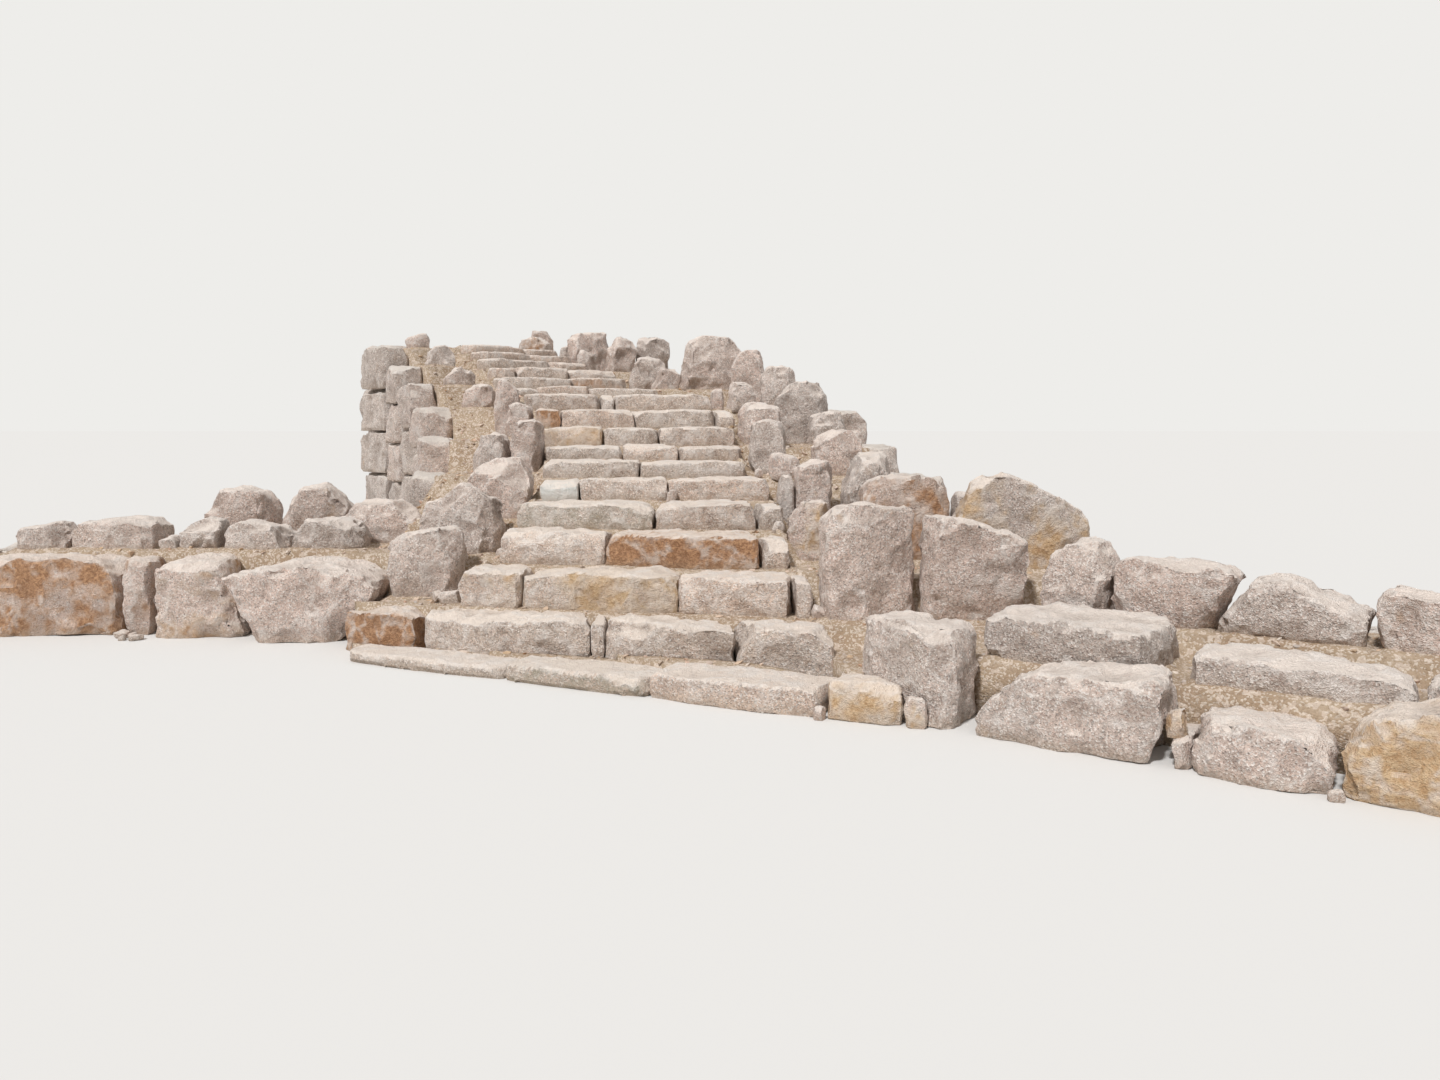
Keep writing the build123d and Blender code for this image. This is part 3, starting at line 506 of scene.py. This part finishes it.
# For the stones that differ, counted from the left: how light, rusty, ochre and green each is, with
# an ochre below nothing for milky quartz
STEP_MARKS = {
    1: {1: (0.97, 0.0, 0.0, 0.7), 3: (1.0, 0.0, 0.48, 0.0)},
    2: {0: (0.95, 0.7, 0.0, 0.0)},
    3: {0: (1.03, 0.0, 0.2, 0.0), 1: (1.0, 0.0, 0.52, 0.2)},
    4: {1: (0.92, 0.84, 0.0, 0.0)},
    5: {0: (0.98, 0.0, 0.0, 0.6)},
    6: {0: (1.1, 0.0, -0.85, 0.0)},
    9: {0: (0.98, 0.0, 0.5, 0.0)},
    10: {0: (0.9, 0.6, 0.0, 0.0)},
    13: {1: (0.92, 0.42, 0.0, 0.0)},
}
STEP_ROWS = ["step_%02d" % number for number in range(1, 18)]
NEAR_ROWS = 8
STEP_VOXEL = 0.018
FAR_STEP_VOXEL = 0.021
for number, name in enumerate(STEP_ROWS, 1):
    lay_stones(name, "step_stone", step_granite,
               STEP_VOXEL if number <= NEAR_ROWS else FAR_STEP_VOXEL, number,
               STEP_MARKS.get(number, {}), crown=0.065, corner_cut=0.09, corners=7, rough=0.8,
               arris=0.003)

# The cheek boulders
# Upright split boulders of the same granite, set beside the steps to hold the fill behind them, in
# one row on the left and two on the right, with a tall one and a corner boulder at the right foot.
# The last colour paints the tops paler, as bleaching and as a painted highlight
boulder_granite = split_granite("split_granite_boulders", "#E2CBBE", "#D3C5BB", "#FFF1E5")
BOULDER_VOXEL = 0.021
FAR_BOULDER_VOXEL = 0.026
BOULDER_SPLIT = {"crown": 0.09, "corner_cut": 0.10, "corners": 6, "rough": 1.0, "arris": 0.004}
CHEEKS = {
    "left_cheek_lower": (21, {}),
    "left_cheek_upper": (22, {}),
    "corner_boulder": (23, {}),
    "tall_boulder": (24, {0: (1.1, 0.0, 0.0, 0.0)}),
    "right_cheek_lower": (25, {0: (1.0, 0.0, 0.3, 0.0), 1: (0.97, 0.42, 0.0, 0.0),
                               4: (1.0, 0.0, 0.42, 0.0)}),
    "right_cheek_inner": (26, {}),
    "right_cheek_outer": (27, {}),
    "bend_ring": (28, {0: (1.0, 0.36, 0.0, 0.0), 1: (1.0, 0.34, 0.0, 0.0)}),
}
FAR_CHEEKS = ("bend_ring", "left_cheek_upper", "right_cheek_inner", "right_cheek_outer")
for name, (seed, marks) in CHEEKS.items():
    lay_stones(name, "boulder", boulder_granite,
               FAR_BOULDER_VOXEL if name in FAR_CHEEKS else BOULDER_VOXEL, seed, marks,
               **BOULDER_SPLIT)

# The low walls to either side of the foot
# On the left a course of large blocks with smaller boulders set back on it, on the right three
# courses of long blocks, each set back on the one below, and two small stones wedged at the foot.
WINGS = {
    "left_wing_base": (31, {0: (0.8, 0.5, 0.0, 0.0), 1: (0.95, 0.3, 0.0, 0.0),
                            2: (0.97, 0.2, 0.25, 0.0)}),
    "left_wing_cap": (32, {}),
    "right_wing_course_1": (33, {2: (0.93, 0.0, 0.72, 0.0)}),
    "right_wing_course_2": (34, {}),
    "right_wing_course_3": (35, {}),
    "wedge_stones": (36, {0: (1.05, 0.0, 0.35, 0.0)}),
}
for name, (seed, marks) in WINGS.items():
    lay_stones(name, "boulder", boulder_granite, BOULDER_VOXEL, seed, marks, **BOULDER_SPLIT)

# The small stones in the joints
# Offcuts of the same granite, pushed into gaps between the big stones and lying at their feet.
# Each has the place of its foot, its length, width and height in metres, and its turn in degrees.
OFFCUTS = (
    (-1.13, 1.22, 0.300, 0.17, 0.12, 0.09, 10),
    (-1.24, 1.24, 0.300, 0.10, 0.09, 0.11, 40),
    (-3.62, 1.46, 0.000, 0.10, 0.07, 0.055, 15),
    (-3.53, 1.44, 0.000, 0.07, 0.06, 0.05, -20),
    (-3.47, 1.38, 0.000, 0.09, 0.05, 0.04, 50),
    (-3.57, 1.37, 0.000, 0.05, 0.04, 0.03, 5),
    (1.33, -0.73, 0.000, 0.08, 0.06, 0.07, -25),
    (2.95, -1.50, 0.125, 0.13, 0.10, 0.14, -35),
    (3.40, -1.98, 0.000, 0.06, 0.05, 0.05, -10),
    (-0.36, 4.86, 1.670, 0.13, 0.08, 0.13, 5),
    (0.41, 2.25, 0.935, 0.08, 0.07, 0.11, 0),
    (1.46, 0.50, 0.300, 0.10, 0.08, 0.12, 20),
    (1.23, 1.60, 0.760, 0.07, 0.06, 0.09, -15),
    (-0.87, 1.93, 0.535, 0.12, 0.09, 0.08, 30),
    (1.12, 2.86, 1.085, 0.10, 0.08, 0.09, 10),
    (1.90, 0.10, 0.280, 0.11, 0.09, 0.10, 25),
)
# The twelve triangles of a block, whose corners are four at the foot and four above them
BLOCK_FACES = [(0, 2, 1), (0, 3, 2), (4, 5, 6), (4, 6, 7), (0, 1, 5), (0, 5, 4),
               (1, 2, 6), (1, 6, 5), (2, 3, 7), (2, 7, 6), (3, 0, 4), (3, 4, 7)]
blocks = []
for x, y, foot, length, width, height, turn in OFFCUTS:
    lengthwise = np.array((cos(radians(turn)), sin(radians(turn)), 0)) * length / 2
    across = np.array((-sin(radians(turn)), cos(radians(turn)), 0)) * width / 2
    corners = [np.array((x, y, foot + rise)) + lengthwise * a + across * b
               for rise in (0, height) for a, b in ((-1, -1), (1, -1), (1, 1), (-1, 1))]
    blocks.append((np.array(corners), BLOCK_FACES))
lay_stones("joint", "boulder", boulder_granite, BOULDER_VOXEL, 37, {7: (1.05, 0.0, 0.4, 0.0)},
           crown=0.22, corner_cut=0.20, corners=6, rough=1.2, arris=0.004, solids=blocks)

# The facing of the flanks and the back
# Coursed rough blocks of the same granite, laid from the ground up round the flanks and the back to
# hold the fill where the photograph doesn't show it. They are split like the others, but plainer.
# The last colour paints the tops paler, as bleaching and as a painted highlight
facing_granite = split_granite("split_granite_facing", "#DCC7BA", "#CFC1B6", "#F0E6DB")
FACING_VOXEL = 0.055
for seed, name in enumerate(("left_flank_low", "left_flank_high", "back_wall_low", "back_wall_high",
                             "right_flank_low", "right_flank_high"), 41):
    lay_stones(name, "facing", facing_granite, FACING_VOXEL, seed, {}, crown=0.06,
               corner_cut=0.08, corners=7, rough=1.0, arris=0.008)

# The fill behind the stones
# Decomposed granite, the sandy chippings that the same rock weathers to, tamped down behind every
# row of stones. It lies uneven, banks up against the stones and slopes from bench to bench.
SOIL_STEP = 0.036           # distance between two points of its surface
SOIL_LAP = 0.035            # how far it reaches in behind the stones' rough backs
SOIL_SLOPE = 1.5            # steepness at which it lies below a higher bench
SOIL_HEAP = 0.035           # how high it is heaped against a stone's foot
HEAP_REACH = 0.11           # how far from the stone the heap runs out
TREAD_HEAP = 0.4            # share of that on the treads, which feet keep flat
# Width and height of its hollows, its lumps and its grit
UNEVEN = ((0.42, 0.010), (0.11, 0.006), (0.045, 0.003))
FILLS = ("tread_fill_even", "tread_fill_odd", "left_bench_even", "left_bench_odd",
         "right_bench_even", "right_bench_odd", "left_wing_fill", "right_wing_fill_low",
         "right_wing_fill_high")


def plan_outline(points):
    "The plan corners of an upright solid, in order round it."
    corners = np.unique(np.round(points[:, :2], 4), axis=0)
    middle = corners.mean(axis=0)
    turn = np.arctan2(corners[:, 1] - middle[1], corners[:, 0] - middle[0])
    return corners[np.argsort(turn)]


def outside(places, outline):
    "How far each plan point lies outside a convex outline, negative inside it."
    after = np.roll(outline, -1, axis=0)
    run = after - outline
    length = np.linalg.norm(run, axis=1)
    away = np.stack((run[:, 1], -run[:, 0]), axis=1) / length[:, None]
    side = ((places[:, None, :] - outline) * away).sum(axis=2)
    along = np.clip(((places[:, None, :] - outline) * run).sum(axis=2) / length ** 2, 0, 1)
    nearest = outline + along[:, :, None] * run
    far = np.linalg.norm(places[:, None, :] - nearest, axis=2).min(axis=1)
    return np.where(side.max(axis=1) > 0, far, side.max(axis=1))


beds = [(name, plan_outline(points), points[:, 2].max())
        for name in FILLS for points, triangles in solids_of(name)]
stood = [(plan_outline(points[points[:, 2] < points[:, 2].min() + 0.002]), points[:, 2].min())
         for name in (*CHEEKS, *WINGS, *STEP_ROWS)
         for points, triangles in solids_of(name)]


def soil_level(places, name, level):
    "Height of the soil over plan points of one bed."
    height = np.full(len(places), level)
    if not name.startswith("tread"):
        for _, outline, high in beds:
            if high > level + 0.01:
                drop = np.maximum(outside(places, outline) - 0.01, 0) * SOIL_SLOPE
                height = np.maximum(height, high - drop)
    heap = np.zeros(len(places))
    for outline, seat in stood:
        if abs(seat - level) < 0.06:
            gap = np.clip(outside(places, outline) / HEAP_REACH, 0, 1)
            heap = np.maximum(heap, (1 - gap) ** 2)
    flat = np.column_stack((places, height))
    rough = sum(lattice(flat, width, 71 + k) * high for k, (width, high) in enumerate(UNEVEN))
    limit = TREAD_HEAP if name.startswith("tread") else 1
    return height + rough + heap * SOIL_HEAP * limit


def soil_bed(outline, name, level, number):
    "One bed of fill, a closed block down to the ground with an uneven top."
    middle = outline.mean(axis=0)
    after = np.roll(outline, -1, axis=0)
    before = np.roll(outline, 1, axis=0)
    wide = []
    for a, b, c in zip(before, outline, after):
        one = np.array((b[1] - a[1], a[0] - b[0])) / hypot(*(b - a))
        two = np.array((c[1] - b[1], b[0] - c[0])) / hypot(*(c - b))
        wide.append(b + (one + two) * SOIL_LAP / max(1 + one @ two, 0.5))
    wide = np.array(wide)
    rim = []
    for a, b in zip(wide, np.roll(wide, -1, axis=0)):
        count = max(1, round(hypot(*(b - a)) / SOIL_STEP))
        rim += [a + (b - a) * k / count for k in range(count)]
    rim = np.array(rim)
    low, high = wide.min(axis=0), wide.max(axis=0)
    dice = np.random.default_rng(number + 500)
    grid = np.array([(x, y) for x in np.arange(low[0], high[0], SOIL_STEP)
                     for y in np.arange(low[1], high[1], SOIL_STEP)])
    grid = grid + dice.uniform(-0.3, 0.3, grid.shape) * SOIL_STEP
    grid = grid[outside(grid, wide) < -SOIL_STEP * 0.6]
    flat = np.concatenate((rim, grid))
    ring = [(k, (k + 1) % len(rim)) for k in range(len(rim))]
    points, _, faces, *_ = delaunay_2d_cdt([Vector(p) for p in flat], ring, [], 1, 1e-6)
    points = np.array([tuple(p) for p in points])
    sides = {}
    for face in faces:
        for a, b in zip(face, face[1:] + face[:1]):
            if sides.pop((b, a), None) is None:
                sides[(a, b)] = True
    chain = {a: b for a, b in sides}
    loop = [next(iter(chain))]
    while len(loop) < len(chain):
        loop.append(chain[loop[-1]])
    under = len(points)
    top = soil_level(points, name, level)
    places = np.concatenate((np.column_stack((points, top)),
                             np.column_stack((points[loop], np.zeros(len(loop))))))
    faces = [list(face) for face in faces]
    tops = len(faces)
    count = len(loop)
    for k in range(count):
        nxt = (k + 1) % count
        faces.append([loop[nxt], loop[k], under + k, under + nxt])
    faces.append([under + k for k in reversed(range(count))])
    return places, faces, tops


def decomposed_granite(name):
    """Decomposed granite, dug, spread and tamped: sand and grit of the same rock with its paler
    chips showing, sandy tan where dry and browner where it stays damp, and dull and loose."""
    made = bpy.data.materials.new(name)
    made.use_nodes = True
    tree = made.node_tree
    tree.nodes.clear()
    here = add(tree, "ShaderNodeTexCoord").outputs["Object"]
    # Damp patches 350 mm across and lumps of 50 mm
    damp, lumps = [
        add(tree, "ShaderNodeTexNoise",
            {"Vector": here, "Scale": 1 / metres, "Detail": detail, "Roughness": roughness})
        for metres, detail, roughness in ((0.35, 4, 0.6), (0.05, 6, 0.7))]
    # Grit is 2 to 6 mm across; it is drawn 10 mm wide so that it shows. Chips are about 26 mm
    grit, chip = [add(tree, "ShaderNodeTexVoronoi", {"Vector": here, "Scale": 1 / metres})
                  for metres in (0.010, 0.026)]
    kind, kind_of_chip = [add(tree, "ShaderNodeSeparateColor", {0: cells.outputs["Color"]}).outputs
                          for cells in (grit, chip)]
    colour = linear("#A58E78")
    for value, low, high, most, tint in ((damp, 0.35, 0.65, 1.0, "#B9A58F"),
                                         (lumps, 0.4, 0.7, 0.5, "#A18A6E"),
                                         (kind[0], 0.7, 0.78, 0.5, "#EDE2D5"),
                                         (kind[1], 0.78, 0.86, 0.4, "#94806C"),
                                         (kind_of_chip[0], 0.8, 0.84, 0.5, "#E0D0C2")):
        share = add(tree, "ShaderNodeMapRange",
                    {"Value": value, "From Min": low, "From Max": high, "To Max": most},
                    interpolation_type="SMOOTHSTEP")
        colour = add(tree, "ShaderNodeMix", {0: share, 6: colour, 7: linear(tint)},
                     data_type="RGBA")
    rise = add(tree, "ShaderNodeMath", {0: lumps, 1: 0.8}, operation="MULTIPLY")
    rise = add(tree, "ShaderNodeMath", {0: grit, 1: -0.3, 2: rise}, operation="MULTIPLY_ADD")
    bump = add(tree, "ShaderNodeBump", {"Height": rise, "Strength": 0.8, "Distance": 0.02})
    skin = add(tree, "ShaderNodeBsdfPrincipled",
               {"Base Color": colour, "Normal": bump, "IOR": 1.5, "Roughness": 0.95,
                "Specular IOR Level": 0.25})
    add(tree, "ShaderNodeOutputMaterial", {"Surface": skin})
    return made


chippings = decomposed_granite("tamped_decomposed_granite")
beds_made = 0
bare_places, bare_faces, bare_open = [], [], []
for name in FILLS:
    places, faces = [], []
    count = 0
    for outline, level in [bed[1:] for bed in beds if bed[0] == name]:
        made, made_faces, tops = soil_bed(outline, name, level, beds_made)
        beds_made += 1
        places.append(made)
        faces += [[k + count for k in face] for face in made_faces]
        count += len(made)
        free = np.ones(len(made))
        for foot_line, seat in stood:
            if abs(seat - level) < 0.3:
                free *= np.clip(outside(made[:, :2], foot_line) / 0.01, 0, 1)
        shift = sum(len(group) for group in bare_places)
        bare_faces += [[k + shift for k in face] for face in made_faces[:tops]]
        bare_places.append(made)
        bare_open.append(free)
    mesh = bpy.data.meshes.new(name + "_soil")
    mesh.from_pydata(np.concatenate(places).tolist(), [], faces)
    mesh.shade_smooth()
    mesh.materials.append(chippings)
    piece = bpy.data.objects.new(name + "_soil", mesh)
    bpy.context.scene.collection.objects.link(piece)
    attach(piece, "root")
    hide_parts(name)

# The loose chips on the fill
# Splinters of granite left from dressing the stones, strewn over the treads and benches, most of
# them a centimetre or two long and a few as big as an egg.
CHIPS_PER_SQUARE_METRE = 210
CHIP_LEAST = 0.006
CHIP_MOST = 0.030
CHIP_SEED = 4


def dry_chips(name):
    """Splinters of the same granite, washed by rain: clean broken faces of quartz and feldspar, so
    each is plainly white, pink, tan or grey, and a little lighter than the soil it lies on."""
    made = bpy.data.materials.new(name)
    made.use_nodes = True
    tree = made.node_tree
    tree.nodes.clear()
    kind = add(tree, "ShaderNodeAttribute", attribute_name="chip").outputs["Fac"]
    here = add(tree, "ShaderNodeTexCoord").outputs["Object"]
    colours = add(tree, "ShaderNodeValToRGB", {0: kind})
    steps = colours.color_ramp.elements
    for place, code in ((0.2, "#D9C3B2"), (0.45, "#C6A988"), (0.7, "#BFB3A9"), (0.9, "#D8B7A2")):
        steps.new(place).color = linear(code)
    steps[0].color = linear("#EADFD3")
    steps[-1].color = linear("#B08A66")
    # Mottling about 11 mm across
    cloud = add(tree, "ShaderNodeTexNoise", {"Vector": here, "Scale": 90.0, "Detail": 4.0})
    shade = add(tree, "ShaderNodeMapRange", {"Value": cloud, "To Min": 0.75, "To Max": 1.1})
    colour = add(tree, "ShaderNodeMix", {0: 1.0, 6: colours, 7: shade}, data_type="RGBA",
                 blend_type="MULTIPLY")
    bump = add(tree, "ShaderNodeBump", {"Height": cloud, "Strength": 0.5, "Distance": 0.004})
    skin = add(tree, "ShaderNodeBsdfPrincipled",
               {"Base Color": colour, "Normal": bump, "IOR": 1.54, "Roughness": 0.85,
                "Specular IOR Level": 0.35})
    add(tree, "ShaderNodeOutputMaterial", {"Surface": skin})
    return made


def strewn(name, values):
    "The tree that strews chips over a surface. Its inputs are named, and its values are given."
    tree = bpy.data.node_groups.new(name, "GeometryNodeTree")
    side = tree.interface
    side.new_socket("Surface", in_out="INPUT", socket_type="NodeSocketGeometry")
    for label, kind, value in values:
        side.new_socket(label, in_out="INPUT", socket_type=kind).default_value = value
    side.new_socket("Chips", in_out="OUTPUT", socket_type="NodeSocketGeometry")
    given = add(tree, "NodeGroupInput")
    # Chips lie only where no stone covers the fill
    open_here = add(tree, "GeometryNodeInputNamedAttribute", {"Name": "open"}, data_type="FLOAT")
    density = add(tree, "ShaderNodeMath",
                  {0: open_here.outputs["Attribute"], 1: given.outputs["Per square metre"]},
                  operation="MULTIPLY")
    spread = add(tree, "GeometryNodeDistributePointsOnFaces",
                 {"Mesh": given.outputs["Surface"], "Density": density,
                  "Seed": given.outputs["Seed"]})
    # Each chip is a ball of twenty faces, knocked out of round
    ball = add(tree, "GeometryNodeMeshIcoSphere", {"Radius": 1.0, "Subdivisions": 1})
    lump = add(tree, "FunctionNodeRandomValue",
               {"Min": (-0.42, -0.42, -0.42), "Max": (0.42, 0.42, 0.42), "Seed": 3},
               data_type="FLOAT_VECTOR")
    chip = add(tree, "GeometryNodeSetPosition",
               {"Geometry": ball.outputs["Mesh"], "Offset": lump.outputs[0]})
    # Most chips are small and a few are large
    chance = add(tree, "FunctionNodeRandomValue", {"Seed": 11}, data_type="FLOAT")
    chance = add(tree, "ShaderNodeMath", {0: chance.outputs[1], 1: 4.0}, operation="POWER")
    length = add(tree, "ShaderNodeMapRange",
                 {"Value": chance, "To Min": given.outputs["Least"],
                  "To Max": given.outputs["Most"]})
    shape = add(tree, "FunctionNodeRandomValue",
                {"Min": (0.7, 0.5, 0.35), "Max": (1.3, 1.0, 0.7), "Seed": 12},
                data_type="FLOAT_VECTOR")
    scale = add(tree, "ShaderNodeVectorMath", {0: shape.outputs[0], "Scale": length.outputs[0]},
                operation="SCALE")
    turn = add(tree, "FunctionNodeRandomValue",
               {"Min": (-0.5, -0.5, 0.0), "Max": (0.5, 0.5, 6.28), "Seed": 13},
               data_type="FLOAT_VECTOR")
    laid = add(tree, "GeometryNodeInstanceOnPoints",
               {"Points": spread.outputs["Points"], "Instance": chip.outputs[0],
                "Rotation": turn.outputs[0], "Scale": scale.outputs[0]})
    kind = add(tree, "FunctionNodeRandomValue", {"Seed": 14}, data_type="FLOAT")
    marked = add(tree, "GeometryNodeStoreNamedAttribute",
                 {"Geometry": laid.outputs[0], "Name": "chip", "Value": kind.outputs[1]},
                 data_type="FLOAT", domain="INSTANCE")
    real = add(tree, "GeometryNodeRealizeInstances", {"Geometry": marked.outputs[0]})
    finished = add(tree, "GeometryNodeSetMaterial",
                   {"Geometry": real.outputs[0], "Material": given.outputs["Material"]})
    add(tree, "NodeGroupOutput", {"Chips": finished.outputs[0]})
    return tree


def plain_result(piece, tree, name):
    "The mesh that a tree makes of a piece, as a new piece of its own."
    change = piece.modifiers.new("made", "NODES")
    change.node_group = tree
    graph = bpy.context.evaluated_depsgraph_get()
    mesh = bpy.data.meshes.new_from_object(piece.evaluated_get(graph))
    piece.modifiers.remove(change)
    result = bpy.data.objects.new(name, mesh)
    bpy.context.scene.collection.objects.link(result)
    return result


surface = bpy.data.meshes.new("bare_fill")
surface.from_pydata(np.concatenate(bare_places).tolist(), [], bare_faces)
is_open = surface.attributes.new("open", "FLOAT", "POINT")
is_open.data.foreach_set("value", np.concatenate(bare_open))
bare = bpy.data.objects.new("bare_fill", surface)
bpy.context.scene.collection.objects.link(bare)
chip_stone = dry_chips("washed_granite_chips")
chips = plain_result(bare, strewn("strewn_chips", (
    ("Per square metre", "NodeSocketFloat", CHIPS_PER_SQUARE_METRE),
    ("Least", "NodeSocketFloat", CHIP_LEAST),
    ("Most", "NodeSocketFloat", CHIP_MOST),
    ("Seed", "NodeSocketInt", CHIP_SEED),
    ("Material", "NodeSocketMaterial", chip_stone))), "loose_chips")
bpy.data.objects.remove(bare)
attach(chips, "root")
